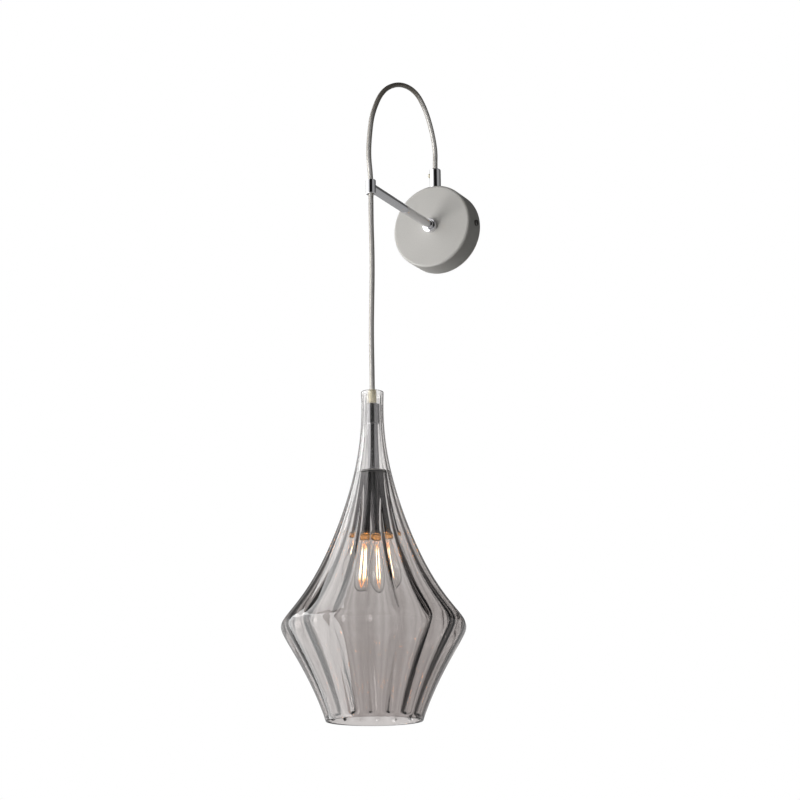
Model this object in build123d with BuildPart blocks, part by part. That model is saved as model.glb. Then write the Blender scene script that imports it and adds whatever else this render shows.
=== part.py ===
from build123d import *
import math
import os

import numpy as np

os.makedirs("parts", exist_ok=True)

# Hanging pendant wall sconce, millimetres, +Z up. The origin is the centre of the canopy's back, on the
# wall. The wall is the plane y = 0, the lamp stands off it towards -Y, and +X is to the right.

# ---------------------------------------------------------------- driving dimensions
# canopy on the wall
canopy_dia = 100.0
canopy_depth = 29.0
canopy_wall = 1.2
canopy_edge_radius = 3.0
# bracket behind the canopy
bracket_width = 24.0
bracket_thickness = 1.5
bracket_tab_depth = 18.0
bracket_clearance = 0.4
wall_slot_spacing = 62.0
wall_slot_length = 10.0
wall_slot_width = 4.5
supply_hole_dia = 9.0
supply_hole_offset = -19.0
# screws that hold the canopy to the bracket's tabs
canopy_screw_dia = 4.0
canopy_screw_length = 8.0
canopy_screw_head_dia = 7.0
canopy_screw_head_height = 2.4
canopy_screw_setback = 11.5
screw_slot_width = 0.9
# straight arm
arm_dia = 10.0
arm_bore = 8.0
arm_reach = 172.4
arm_plug_length = 14.0
collar_dia = 17.0
collar_length = 9.0
collar_step_dia = 13.0
collar_step_length = 3.5
washer_dia = 18.0
washer_thickness = 1.2
nut_across_flats = 13.0
nut_thickness = 4.0
stud_spare_length = 1.5
# cord
cord_dia = 5.5
cord_clearance = 0.2
close_clearance = 0.05
wire_dia = 2.0
wire_spread = 1.3
core_lead_share = 0.22
core_drop_share = 0.25
# guide at the arm's tip
guide_dia = 11.0
guide_height = 16.5
guide_edge = 0.8
liner_wall = 1.0
liner_inset = 0.5
# grip on top of the canopy
grip_dia = 13.0
grip_height = 25.0
grip_edge_radius = 1.5
grip_stand_off = 15.5
grip_thread_dia = 10.0
grip_nut_across_flats = 14.0
grip_nut_thickness = 3.0
grip_screw_dia = 4.0
grip_screw_head_dia = 5.5
grip_screw_head_length = 3.0
grip_screw_head_round = 2.4
grip_screw_drop = 6.5
grip_lead = 6.0
sheath_tail = 10.0
# terminal block and earthing
block_pole_pitch = 8.0
block_poles = 3
block_height = 16.0
block_depth = 12.0
block_corner_radius = 1.5
block_screw_dia = 3.0
block_well_depth = 4.0
wire_entry_depth = 3.0
earth_screw_dia = 4.0
earth_screw_head_dia = 7.0
earth_screw_offset = 18.5
earth_tag_thickness = 0.8
earth_tag_dia = 7.6
earth_tab_width = 3.0
# hanging cord
free_drop = 226.8
swing_pivot_drop = 0.8
swing_link_length = 14.0
# gland, collar and stem over the lamp cup
gland_dia = 9.0
gland_height = 14.5
gland_edge = 1.0
gland_thread_dia = 8.0
gland_thread_length = 8.0
neck_collar_dia = 15.5
neck_collar_height = 22.2
neck_collar_edge = 0.5
stem_dia = 13.0
stem_height = 53.6
stem_thread_dia = 11.0
stem_thread_length = 8.0
nipple_dia = 10.0
nipple_bore = 7.0
nipple_engagement = 10.0
# lamp cup
cup_dia = 30.0
cup_height = 70.0
cup_wall = 0.8
cup_top_thickness = 1.2
cup_edge_radius = 2.0
cup_nut_across_flats = 14.0
cup_nut_thickness = 4.0
cup_nut_gap = 8.0
cup_ring_dia = 42.0
cup_ring_height = 4.0
cup_ring_recess = 2.5
cup_ring_lip = 1.5
cup_ring_edge = 0.6
# lampholder
holder_dia = 26.0
holder_wall = 1.6
holder_cap_height = 14.0
holder_cap_top = 3.0
holder_mouth_gap = 0.8
holder_lap = 4.0
shell_bore = 14.0
shell_wall = 0.4
shell_inset = 1.5
contact_thickness = 0.6
contact_width = 5.0
contact_length = 11.2
holder_floor = 3.5
terminal_room = 8.0
sheath_end_gap = 1.0
holder_wire_lead = 2.4
holder_wire_bend = 1.6
holder_wire_end = 1.0
# bulb
bulb_dia = 45.0
bulb_length = 94.4
bulb_glass_wall = 0.8
bulb_neck_dia = 12.6
bulb_straight_length = 3.0
bulb_cap_dia = 13.7
bulb_cap_wall = 0.3
bulb_cap_length = 20.5
bulb_cap_roof = 1.0
bulb_cap_edge = 0.8
bulb_contact_dia = 4.6
bulb_contact_height = 1.2
bulb_insulator_height = 3.2
insulator_base_dia = 11.5
insulator_tip_dia = 5.5
filament_count = 4
filament_length = 38.0
filament_dia = 1.8
filament_circle_radius = 6.2
filament_tip_gap = 11.3
filament_wire_dia = 0.7
bulb_stem_dia = 4.0
bulb_flare_dia = 9.0
bulb_flare_length = 9.0
# gasket between the cup and the glass
gasket_thickness = 1.5
gasket_overhang = 0.4
gasket_bore_clearance = 0.5
seat_clearance = 0.15
# glass shade: heights are measured down from its top rim, radii are those of the flutes' crests
shade_height = 352.0
shade_rim_collar = 2.5
shade_flutes = 16
flute_depth_share = 0.055
flute_turn = 1.6
neck_fade = 11.0
mouth_fade = 5.0
crest_wall = 2.2
rib_rise = 3.0
rib_radius = 35.0
flare_step = 50.0
flare_top_radius = 12.4
flare_neck_radius = 13.7
flare_upper_radius = 22.8
flare_middle_radius = 39.0
flare_lower_radius = 62.3
flare_end_radius = 101.9
cone_step = 45.0
cone_mouth_radius = 50.4
cone_middle_radius = 70.0
cone_end_radius = 97.7
belly_softness = 15.6

# ---------------------------------------------------------------- places worked out from them
axis_y = -arm_reach
cord_radius = cord_dia / 2
cord_bore = cord_dia + 2 * cord_clearance
canopy_bore_radius = canopy_dia / 2 - canopy_wall
canopy_inner_depth = canopy_depth - canopy_wall
block_width = block_poles * block_pole_pitch
pole_offsets = [(k - (block_poles - 1) / 2) * block_pole_pitch for k in range(block_poles)]
liner_bore = cord_bore
liner_dia = cord_bore + 2 * liner_wall
liner_half = guide_height / 2 - liner_inset
grip_top = canopy_dia / 2 + grip_height
grip_screw_height = grip_top - grip_screw_drop
grip_nut_top = math.sqrt(canopy_bore_radius**2 - (grip_nut_across_flats / 2) ** 2)
grip_thread_end = grip_nut_top - grip_nut_thickness - stud_spare_length
swing_pivot = -(guide_height / 2 + swing_pivot_drop)
side_pivot = swing_pivot - swing_link_length
gland_top = -(guide_height / 2 + free_drop)
neck_collar_top = gland_top - gland_height
stem_top = neck_collar_top - neck_collar_height
cup_top = stem_top - stem_height
cup_rim = cup_top - cup_height
cup_ceiling = cup_top - cup_top_thickness
holder_cap_top_z = cup_ceiling - cup_nut_thickness - cup_nut_gap
holder_joint = holder_cap_top_z - holder_cap_height
nipple_top = cup_top + nipple_engagement
nipple_bottom = holder_cap_top_z - holder_cap_top
sheath_end = nipple_bottom - sheath_end_gap
holder_floor_top = holder_joint - terminal_room + holder_lap
holder_floor_bottom = holder_floor_top - holder_floor
bulb_top = holder_floor_bottom - contact_thickness - close_clearance
insulator_top = bulb_top - bulb_contact_height
cap_top = insulator_top - bulb_insulator_height
cap_bottom = cap_top - bulb_cap_length
holder_bottom = cap_bottom + holder_mouth_gap
bulb_tip = bulb_top - bulb_length
filament_bottom = bulb_tip + filament_tip_gap
filament_top = filament_bottom + filament_length
pendant_axis = Axis((0, axis_y, 0), (0, 0, 1))


def level(z):
    """Horizontal plane at height z, centred on the pendant's axis."""
    return Plane(origin=(0, axis_y, z))


def pendant_section():
    """Upright plane through the pendant's axis: local x is the radius, local y is the height."""
    return Plane(origin=(0, axis_y, 0), x_dir=(1, 0, 0), z_dir=(0, -1, 0))


def tangent_radii(points):
    """Corner radii for a cord's path: 0.45 of the shorter run over the tangent of half the turn."""
    radii = []
    for before, corner, after in zip(points, points[1:], points[2:]):
        run_in = Vector(*corner) - Vector(*before)
        run_out = Vector(*after) - Vector(*corner)
        half_turn = math.radians(run_in.get_angle(run_out) / 2)
        radii.append(0.45 * min(run_in.length, run_out.length) / math.tan(half_turn))
    return radii


def cord_path(points):
    """Straight runs joined by tangent arcs."""
    with BuildLine():
        return FilletPolyline(*points, radius=tangent_radii(points))


def cord_solid(points, dia):
    """Round cord swept along its path."""
    path = cord_path(points)
    with BuildPart() as cord:
        with BuildSketch(Plane(origin=points[0], z_dir=path % 0)):
            Circle(dia / 2)
        sweep(path=path)
    return cord


# ---------------------------------------------------------------- canopy and its bracket
with BuildPart() as canopy:
    with BuildSketch(Plane.XZ):
        Circle(canopy_dia / 2)
    extrude(amount=canopy_depth)
    fillet(canopy.faces().sort_by(Axis.Y)[0].edges(), canopy_edge_radius)
    offset(amount=-canopy_wall, openings=canopy.faces().sort_by(Axis.Y)[-1])
    with BuildSketch(Plane.XZ):
        Circle(arm_bore / 2 + cord_clearance)
    extrude(amount=canopy_depth, mode=Mode.SUBTRACT)
    with BuildSketch(Plane.XY):
        with Locations((0, -grip_stand_off)):
            Circle(grip_thread_dia / 2 + cord_clearance)
    extrude(amount=canopy_dia, mode=Mode.SUBTRACT)
    with BuildSketch(Plane.YZ):
        with Locations((-canopy_screw_setback, 0)):
            Circle(canopy_screw_dia / 2 + cord_clearance)
    extrude(amount=canopy_dia, both=True, mode=Mode.SUBTRACT)

tab_face = canopy_bore_radius - bracket_clearance
tab_span = 2 * math.sqrt(tab_face**2 - (bracket_width / 2) ** 2)
with BuildPart() as wall_bracket:
    with BuildSketch(Plane.XZ):
        Rectangle(tab_span, bracket_width)
        with Locations((-wall_slot_spacing / 2, 0), (wall_slot_spacing / 2, 0)):
            SlotOverall(wall_slot_length, wall_slot_width, mode=Mode.SUBTRACT)
        with Locations((supply_hole_offset, 0)):
            Circle(supply_hole_dia / 2, mode=Mode.SUBTRACT)
        with Locations((earth_screw_offset, 0)):
            Circle(earth_screw_dia / 2, mode=Mode.SUBTRACT)
    extrude(amount=bracket_thickness)
    with BuildSketch(Plane.XZ):
        for side in (-1, 1):
            with Locations((side * (tab_span - bracket_thickness) / 2, 0)):
                Rectangle(bracket_thickness, bracket_width)
    extrude(amount=bracket_tab_depth)
    with BuildSketch(Plane.YZ):
        with Locations((-canopy_screw_setback, 0)):
            Circle(canopy_screw_dia / 2)
    extrude(amount=canopy_dia, both=True, mode=Mode.SUBTRACT)

with BuildPart() as canopy_screws:
    for side in (-1, 1):
        seat = Plane(
            origin=(side * canopy_dia / 2, -canopy_screw_setback, 0), x_dir=(0, 1, 0), z_dir=(side, 0, 0)
        )
        with BuildSketch(seat):
            Circle(canopy_screw_head_dia / 2)
        extrude(amount=canopy_screw_head_height)
        fillet(
            canopy_screws.faces().sort_by(Axis.X)[0 if side < 0 else -1].edges(),
            canopy_screw_head_height / 3,
        )
        with BuildSketch(seat):
            Circle(canopy_screw_dia / 2)
        extrude(amount=-canopy_screw_length)
        with BuildSketch(seat.offset(canopy_screw_head_height)):
            Rectangle(screw_slot_width, canopy_screw_head_dia)
        extrude(amount=-canopy_screw_head_height / 2, mode=Mode.SUBTRACT)

# ---------------------------------------------------------------- arm, its fixing and the cord guide
with BuildPart() as arm_tube:
    with BuildSketch(Plane.XZ.offset(canopy_depth)):
        Circle(arm_dia / 2)
        Circle(arm_bore / 2, mode=Mode.SUBTRACT)
    extrude(amount=arm_reach - canopy_depth)
    with BuildSketch(level(0)):
        Circle(guide_dia / 2)
    extrude(amount=arm_dia, both=True, mode=Mode.SUBTRACT)

with BuildPart() as arm_collar:
    with BuildSketch(Plane.XZ.offset(canopy_depth)):
        Circle(collar_dia / 2)
    extrude(amount=collar_length - collar_step_length)
    fillet(arm_collar.faces().sort_by(Axis.Y)[0].edges(), (collar_dia - collar_step_dia) / 3)
    with BuildSketch(Plane.XZ.offset(canopy_depth)):
        Circle(collar_step_dia / 2)
    extrude(amount=collar_length)
    fillet(arm_collar.faces().sort_by(Axis.Y)[0].edges(), (collar_step_dia - arm_dia) / 4)
    with BuildSketch(Plane.XZ.offset(canopy_depth)):
        Circle(arm_dia / 2)
    extrude(amount=collar_length, mode=Mode.SUBTRACT)

stud_inner_end = canopy_inner_depth - washer_thickness - nut_thickness - stud_spare_length
with BuildPart() as arm_stud:
    with BuildSketch(Plane.XZ.offset(stud_inner_end)):
        Circle(arm_bore / 2)
    extrude(amount=canopy_depth + arm_plug_length - stud_inner_end)
    chamfer(arm_stud.faces().sort_by(Axis.Y)[-1].edges(), stud_spare_length / 2)

with BuildPart() as arm_washer:
    with BuildSketch(Plane.XZ.offset(canopy_inner_depth - washer_thickness)):
        Circle(washer_dia / 2)
        Circle(arm_bore / 2 + cord_clearance, mode=Mode.SUBTRACT)
    extrude(amount=washer_thickness)

with BuildPart() as arm_nut:
    with BuildSketch(Plane.XZ.offset(canopy_inner_depth - washer_thickness - nut_thickness)):
        RegularPolygon(nut_across_flats / 2, 6, major_radius=False)
        Circle(arm_bore / 2, mode=Mode.SUBTRACT)
    extrude(amount=nut_thickness)

with BuildPart() as cord_guide:
    with BuildSketch(level(-guide_height / 2)):
        Circle(guide_dia / 2)
    extrude(amount=guide_height)
    fillet(cord_guide.edges().filter_by(GeomType.CIRCLE), guide_edge)
    with BuildSketch(Plane.XZ.offset(arm_reach - arm_plug_length)):
        Circle(arm_bore / 2)
    extrude(amount=arm_plug_length)
    with BuildSketch(level(-guide_height / 2)):
        Circle(liner_dia / 2)
    extrude(amount=guide_height, mode=Mode.SUBTRACT)

with BuildPart() as guide_liner:
    with BuildSketch(level(-liner_half)):
        Circle(liner_dia / 2)
        Circle(liner_bore / 2, mode=Mode.SUBTRACT)
    extrude(amount=2 * liner_half)

# ---------------------------------------------------------------- cord grip on the canopy
with BuildPart() as cord_grip:
    with BuildSketch(Plane.XY):
        with Locations((0, -grip_stand_off)):
            Circle(grip_dia / 2)
    extrude(amount=grip_top)
    fillet(cord_grip.faces().sort_by(Axis.Z)[-1].edges(), grip_edge_radius)
    with BuildSketch(Plane.XZ):
        Circle(canopy_dia / 2)
    extrude(amount=canopy_depth, mode=Mode.SUBTRACT)
    with BuildSketch(Plane.XY.offset(grip_thread_end)):
        with Locations((0, -grip_stand_off)):
            Circle(grip_thread_dia / 2)
    extrude(amount=canopy_dia / 2 - grip_thread_end)
    with BuildSketch(Plane.XY):
        with Locations((0, -grip_stand_off)):
            Circle(cord_bore / 2)
    extrude(amount=grip_top, mode=Mode.SUBTRACT)
    with BuildSketch(Plane.YZ.offset(-grip_dia)):
        with Locations((-grip_stand_off, grip_screw_height)):
            Circle(grip_screw_dia / 2)
    extrude(amount=grip_dia, mode=Mode.SUBTRACT)

grip_screw_plane = Plane(
    origin=(-cord_bore / 2, -grip_stand_off, grip_screw_height), x_dir=(0, 0, 1), z_dir=(-1, 0, 0)
)
grip_screw_shank = (grip_dia - cord_bore) / 2
with BuildPart() as grip_screw:
    with BuildSketch(grip_screw_plane):
        Circle(grip_screw_dia / 2)
    extrude(amount=grip_screw_shank)
    with BuildSketch(grip_screw_plane.offset(grip_screw_shank)):
        Circle(grip_screw_head_dia / 2)
    extrude(amount=grip_screw_head_length)
    fillet(grip_screw.faces().sort_by(Axis.X)[0].edges(), grip_screw_head_round)

with BuildPart() as grip_nut:
    with BuildSketch(Plane.XY.offset(grip_nut_top - grip_nut_thickness)):
        with Locations((0, -grip_stand_off)):
            RegularPolygon(grip_nut_across_flats / 2, 6, major_radius=False, rotation=30)
            Circle(grip_thread_dia / 2, mode=Mode.SUBTRACT)
    extrude(amount=grip_nut_thickness)

# ---------------------------------------------------------------- terminal block and earthing
block_front = bracket_thickness + block_depth
with BuildPart() as terminal_block:
    with BuildSketch(Plane.XZ.offset(bracket_thickness)):
        RectangleRounded(block_width, block_height, block_corner_radius)
    extrude(amount=block_depth)
    with BuildSketch(Plane.XZ.offset(block_front)):
        for offset_x in pole_offsets:
            with Locations((offset_x, block_height / 4), (offset_x, -block_height / 4)):
                Circle(block_screw_dia / 2 + cord_clearance)
    extrude(amount=-block_well_depth, mode=Mode.SUBTRACT)
    with BuildSketch(Plane.XY.offset(-block_height / 2)):
        for offset_x in pole_offsets:
            with Locations((offset_x, -bracket_thickness - block_depth / 2)):
                Circle(wire_dia / 2 + cord_clearance)
    extrude(amount=block_height, mode=Mode.SUBTRACT)

with BuildPart() as terminal_screws:
    with BuildSketch(Plane.XZ.offset(block_front - block_well_depth)):
        for offset_x in pole_offsets:
            with Locations((offset_x, block_height / 4), (offset_x, -block_height / 4)):
                Circle(block_screw_dia / 2)
    extrude(amount=block_well_depth / 2)

with BuildPart() as earth_tag:
    with BuildSketch(Plane.XZ.offset(bracket_thickness)):
        with Locations((earth_screw_offset, 0)):
            Circle(earth_tag_dia / 2)
        with Locations((earth_screw_offset, earth_tag_dia / 2)):
            Rectangle(earth_tab_width, earth_tag_dia)
        with Locations((earth_screw_offset, 0)):
            Circle(earth_screw_dia / 2, mode=Mode.SUBTRACT)
    extrude(amount=earth_tag_thickness)

with BuildPart() as earth_screw:
    with BuildSketch(Plane.XZ):
        with Locations((earth_screw_offset, 0)):
            Circle(earth_screw_dia / 2)
    extrude(amount=bracket_thickness + earth_tag_thickness)
    with BuildSketch(Plane.XZ.offset(bracket_thickness + earth_tag_thickness)):
        with Locations((earth_screw_offset, 0)):
            Circle(earth_screw_head_dia / 2)
    extrude(amount=canopy_screw_head_height)
    chamfer(earth_screw.faces().sort_by(Axis.Y)[0].edges(), canopy_screw_head_height / 4)

# ---------------------------------------------------------------- cord: loop, hanging run and tails
# The loop rises out of the guide, goes over and comes down into the grip, in the plane x = 0.
loop_start = swing_pivot + cord_radius + cord_clearance
loop_end = grip_top - sheath_tail
loop_points = [
    (0, axis_y, loop_start),
    (0, axis_y, 12.0),
    (0, -177.6, 36.0),
    (0, -174.6, 63.0),
    (0, -168.0, 91.0),
    (0, -144.0, 128.0),
    (0, -104.0, 152.0),
    (0, -65.0, 158.0),
    (0, -41.0, 146.5),
    (0, -23.5, 124.0),
    (0, -14.2, 100.0),
    (0, -grip_stand_off, grip_top + grip_lead),
    (0, -grip_stand_off, loop_end),
]
cable_loop = cord_solid(loop_points, cord_dia)

sheath_inner_end = grip_thread_end - sheath_tail / 2
with BuildPart() as cable_tail:
    with BuildSketch(Plane.XY.offset(sheath_inner_end)):
        with Locations((0, -grip_stand_off)):
            Circle(cord_radius)
    extrude(amount=loop_end - sheath_inner_end)

with BuildPart() as cable_flex:
    with BuildSketch(level(side_pivot + cord_radius + cord_clearance)):
        Circle(cord_radius)
    extrude(amount=swing_link_length - cord_radius - cord_clearance)
    with Locations((0, axis_y, swing_pivot)):
        Sphere(cord_radius)

with BuildPart() as cable_drop:
    with BuildSketch(level(sheath_end)):
        Circle(cord_radius)
    extrude(amount=side_pivot - sheath_end)
    with Locations((0, axis_y, side_pivot)):
        Sphere(cord_radius)

# Each core leaves the sheath, spreads and drops straight into its clamp.
clamp_y = -bracket_thickness - block_depth / 2
clamp_z = block_height / 2 - wire_entry_depth
wire_fall = sheath_inner_end - block_height / 2


def core_points(start_x, start_y, end):
    """Route of one core from the sheath's end to the clamp at end."""
    end_x, end_y, end_z = end
    top_of_clamp = max(end_z, block_height / 2)
    return [
        (start_x, start_y, sheath_inner_end),
        (start_x, start_y, sheath_inner_end - wire_fall * core_lead_share),
        (end_x, end_y, top_of_clamp + wire_fall * core_drop_share),
        (end_x, end_y, end_z),
    ]


live_wire = cord_solid(
    core_points(-wire_spread, -grip_stand_off, (pole_offsets[0], clamp_y, clamp_z)), wire_dia
)
neutral_wire = cord_solid(
    core_points(0, wire_spread - grip_stand_off, (pole_offsets[1], clamp_y, clamp_z)), wire_dia
)
earth_wire = cord_solid(
    core_points(
        wire_spread,
        -grip_stand_off - wire_spread / 2,
        (
            earth_screw_offset,
            -bracket_thickness - earth_tag_thickness - wire_dia / 2,
            earth_screw_head_dia / 2 + cord_clearance,
        ),
    ),
    wire_dia,
)

# ---------------------------------------------------------------- gland, collar, stem and cup
with BuildPart() as neck_gland:
    with BuildSketch(level(neck_collar_top)):
        Circle(gland_dia / 2)
    extrude(amount=gland_height)
    chamfer(neck_gland.faces().sort_by(Axis.Z)[-1].edges(), gland_edge)
    with BuildSketch(level(neck_collar_top - gland_thread_length)):
        Circle(gland_thread_dia / 2)
    extrude(amount=gland_thread_length)
    with BuildSketch(level(neck_collar_top - gland_thread_length)):
        Circle(cord_bore / 2)
    extrude(amount=gland_thread_length + gland_height, mode=Mode.SUBTRACT)

with BuildPart() as neck_collar:
    with BuildSketch(level(stem_top)):
        Circle(neck_collar_dia / 2)
    extrude(amount=neck_collar_height)
    chamfer(neck_collar.edges().filter_by(GeomType.CIRCLE), neck_collar_edge)
    with BuildSketch(level(neck_collar_top)):
        Circle(gland_thread_dia / 2)
    extrude(amount=-gland_thread_length, mode=Mode.SUBTRACT)
    with BuildSketch(level(stem_top)):
        Circle(stem_thread_dia / 2)
    extrude(amount=stem_thread_length, mode=Mode.SUBTRACT)
    with BuildSketch(level(stem_top)):
        Circle(cord_bore / 2)
    extrude(amount=neck_collar_height, mode=Mode.SUBTRACT)

with BuildPart() as stem_tube:
    with BuildSketch(level(cup_top)):
        Circle(stem_dia / 2)
    extrude(amount=stem_height)
    with BuildSketch(level(stem_top)):
        Circle(stem_thread_dia / 2)
    extrude(amount=stem_thread_length)
    with BuildSketch(level(cup_top)):
        Circle(nipple_bore / 2)
    extrude(amount=stem_height + stem_thread_length, mode=Mode.SUBTRACT)
    with BuildSketch(level(cup_top)):
        Circle(nipple_dia / 2)
    extrude(amount=nipple_engagement, mode=Mode.SUBTRACT)

with BuildPart() as cup_nipple:
    with BuildSketch(level(nipple_bottom)):
        Circle(nipple_dia / 2)
        Circle(nipple_bore / 2, mode=Mode.SUBTRACT)
    extrude(amount=nipple_top - nipple_bottom)

with BuildPart() as cup_nut:
    with BuildSketch(level(cup_ceiling - cup_nut_thickness)):
        RegularPolygon(cup_nut_across_flats / 2, 6, major_radius=False)
        Circle(nipple_dia / 2, mode=Mode.SUBTRACT)
    extrude(amount=cup_nut_thickness)

with BuildPart() as lamp_cup:
    with BuildSketch(level(cup_rim)):
        Circle(cup_dia / 2)
    extrude(amount=cup_height)
    fillet(lamp_cup.faces().sort_by(Axis.Z)[-1].edges(), cup_edge_radius)
    with BuildSketch(level(cup_rim)):
        Circle(cup_dia / 2 - cup_wall)
    extrude(amount=cup_height - cup_edge_radius, mode=Mode.SUBTRACT)
    with BuildSketch(level(cup_ceiling - (cup_edge_radius - cup_top_thickness))):
        Circle(cup_dia / 2 - cup_edge_radius)
    extrude(amount=cup_edge_radius - cup_top_thickness, mode=Mode.SUBTRACT)
    with BuildSketch(level(cup_rim)):
        Circle(nipple_dia / 2 + close_clearance)
    extrude(amount=cup_height, mode=Mode.SUBTRACT)

# The ring round the cup's rim is open below, like a shallow dish.
with BuildPart() as cup_ring:
    with BuildSketch(level(cup_rim)):
        Circle(cup_ring_dia / 2)
    extrude(amount=cup_ring_height)
    fillet(cup_ring.edges().filter_by(GeomType.CIRCLE), cup_ring_edge)
    with BuildSketch(level(cup_rim)):
        Circle(cup_ring_dia / 2 - cup_ring_lip)
    extrude(amount=cup_ring_recess, mode=Mode.SUBTRACT)
    with BuildSketch(level(cup_rim)):
        Circle(cup_dia / 2)
    extrude(amount=cup_ring_height, mode=Mode.SUBTRACT)

# ---------------------------------------------------------------- lampholder in the cup
with BuildPart() as lampholder_cap:
    with BuildSketch(level(holder_joint)):
        Circle(holder_dia / 2)
    extrude(amount=holder_cap_height)
    fillet(lampholder_cap.faces().sort_by(Axis.Z)[-1].edges(), holder_wall)
    with BuildSketch(level(holder_joint)):
        Circle(holder_dia / 2 - holder_wall)
    extrude(amount=holder_cap_height - holder_cap_top, mode=Mode.SUBTRACT)
    with BuildSketch(level(holder_joint)):
        Circle(nipple_dia / 2)
    extrude(amount=holder_cap_height, mode=Mode.SUBTRACT)

with BuildPart() as lampholder_body:
    with BuildSketch(level(holder_bottom)):
        Circle(holder_dia / 2)
    extrude(amount=holder_joint - holder_bottom)
    chamfer(lampholder_body.faces().sort_by(Axis.Z)[0].edges(), holder_wall / 2)
    with BuildSketch(level(holder_joint)):
        Circle(holder_dia / 2 - holder_wall)
    extrude(amount=holder_lap)
    with BuildSketch(level(holder_floor_top)):
        Circle(holder_dia / 2 - 2 * holder_wall)
    extrude(amount=terminal_room, mode=Mode.SUBTRACT)
    with BuildSketch(level(holder_bottom)):
        Circle(shell_bore / 2 + shell_wall)
    extrude(amount=holder_floor_bottom - holder_bottom, mode=Mode.SUBTRACT)
    with BuildSketch(level(holder_floor_bottom)):
        with Locations((-shell_bore / 4, 0), (shell_bore / 4, 0)):
            Circle(wire_dia / 2)
    extrude(amount=holder_floor, mode=Mode.SUBTRACT)

with BuildPart() as socket_shell:
    with BuildSketch(level(holder_bottom + shell_inset)):
        Circle(shell_bore / 2 + shell_wall)
        Circle(shell_bore / 2, mode=Mode.SUBTRACT)
    extrude(amount=holder_floor_bottom - holder_bottom - shell_inset)

with BuildPart() as socket_contact:
    with BuildSketch(level(holder_floor_bottom)):
        SlotOverall(contact_length, contact_width)
    extrude(amount=-contact_thickness)

with BuildPart() as holder_wires:
    for side in (-1, 1):
        with BuildLine():
            wire_line = FilletPolyline(
                (side * wire_spread, axis_y, sheath_end),
                (side * wire_spread, axis_y, sheath_end - holder_wire_lead),
                (side * shell_bore / 4, axis_y, holder_floor_top + holder_wire_lead),
                (side * shell_bore / 4, axis_y, holder_floor_bottom + holder_wire_end),
                radius=holder_wire_bend,
            )
        with BuildSketch(Plane(origin=wire_line @ 0, z_dir=wire_line % 0)):
            Circle(wire_dia / 2 - 2 * close_clearance)
        sweep(path=wire_line)

# ---------------------------------------------------------------- bulb
with BuildPart() as bulb_contact:
    with BuildSketch(level(insulator_top)):
        Circle(bulb_contact_dia / 2)
    extrude(amount=bulb_contact_height)
    fillet(bulb_contact.faces().sort_by(Axis.Z)[-1].edges(), bulb_contact_height / 3)

with BuildPart() as bulb_insulator:
    with BuildSketch(level(cap_top)):
        Circle(insulator_base_dia / 2)
    with BuildSketch(level(insulator_top - close_clearance)):
        Circle(insulator_tip_dia / 2)
    loft()

with BuildPart() as bulb_cap:
    with BuildSketch(level(cap_bottom)):
        Circle(bulb_cap_dia / 2)
    extrude(amount=bulb_cap_length)
    fillet(bulb_cap.faces().sort_by(Axis.Z)[-1].edges(), bulb_cap_edge)
    with BuildSketch(level(cap_bottom)):
        Circle(bulb_cap_dia / 2 - bulb_cap_wall)
    extrude(amount=bulb_cap_length - bulb_cap_roof, mode=Mode.SUBTRACT)


def bulb_section(inset):
    """Upright half-section of the bulb's envelope, drawn in from its outer surface by inset."""
    neck = bulb_neck_dia / 2 - inset
    wall = bulb_dia / 2 - inset
    neck_top = cap_bottom + bulb_flare_length
    dome_top = bulb_tip + bulb_dia / 2
    shoulder = dome_top + bulb_straight_length
    with BuildSketch(pendant_section(), mode=Mode.PRIVATE) as section:
        with BuildLine():
            Line((0, neck_top), (neck, neck_top))
            Line((neck, neck_top), (neck, cap_bottom))
            Spline((neck, cap_bottom), (wall, shoulder), tangents=[(0, -1), (0, -1)])
            Line((wall, shoulder), (wall, dome_top))
            RadiusArc((wall, dome_top), (0, dome_top - wall), wall)
            Line((0, dome_top - wall), (0, neck_top))
        make_face()
    return section.sketch


with BuildPart() as bulb_envelope:
    revolve(bulb_section(0), axis=pendant_axis)
    revolve(bulb_section(bulb_glass_wall), axis=pendant_axis, mode=Mode.SUBTRACT)

stem_end = filament_top + filament_wire_dia
with BuildPart() as bulb_stem:
    with BuildSketch(pendant_section()):
        with BuildLine():
            Polyline(
                (0, cap_bottom + bulb_flare_length / 2),
                (bulb_flare_dia / 2, cap_bottom + bulb_flare_length / 2),
                (bulb_stem_dia / 2, cap_bottom - bulb_flare_length / 2),
                (bulb_stem_dia / 2, stem_end),
                (0, stem_end),
                close=True,
            )
        make_face()
    revolve(axis=pendant_axis)

with BuildPart() as bulb_filaments:
    with BuildSketch(level(filament_bottom)):
        with PolarLocations(filament_circle_radius, filament_count, start_angle=45):
            Circle(filament_dia / 2)
    extrude(amount=filament_length)

with BuildPart() as filament_wires:
    for height in (filament_top, filament_bottom - filament_wire_dia):
        with BuildSketch(level(height)):
            for turn in range(filament_count // 2):
                SlotOverall(
                    2 * filament_circle_radius + filament_dia,
                    filament_wire_dia,
                    rotation=45 + turn * 360 / filament_count,
                )
        extrude(amount=filament_wire_dia)

# ---------------------------------------------------------------- glass shade
flare_radii = [
    flare_top_radius,
    flare_neck_radius,
    flare_upper_radius,
    flare_middle_radius,
    flare_lower_radius,
    flare_end_radius,
]
cone_radii = [cone_mouth_radius, cone_middle_radius, cone_end_radius]


def curve_through(radii, step):
    """Polynomial through radii that lie step apart along the height."""
    return np.polyfit([k * step for k in range(len(radii))], radii, len(radii) - 1)


flare_curve = curve_through(flare_radii, flare_step)
cone_curve = curve_through(cone_radii, cone_step)


def crest_radius(depth):
    """Radius of the flutes' crests: a flaring neck and a cone that meet in a soft corner."""
    flare = np.polyval(flare_curve, depth)
    cone = np.polyval(cone_curve, shade_height - depth)
    return float(flare + cone - math.hypot(flare - cone, belly_softness)) / 2


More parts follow.
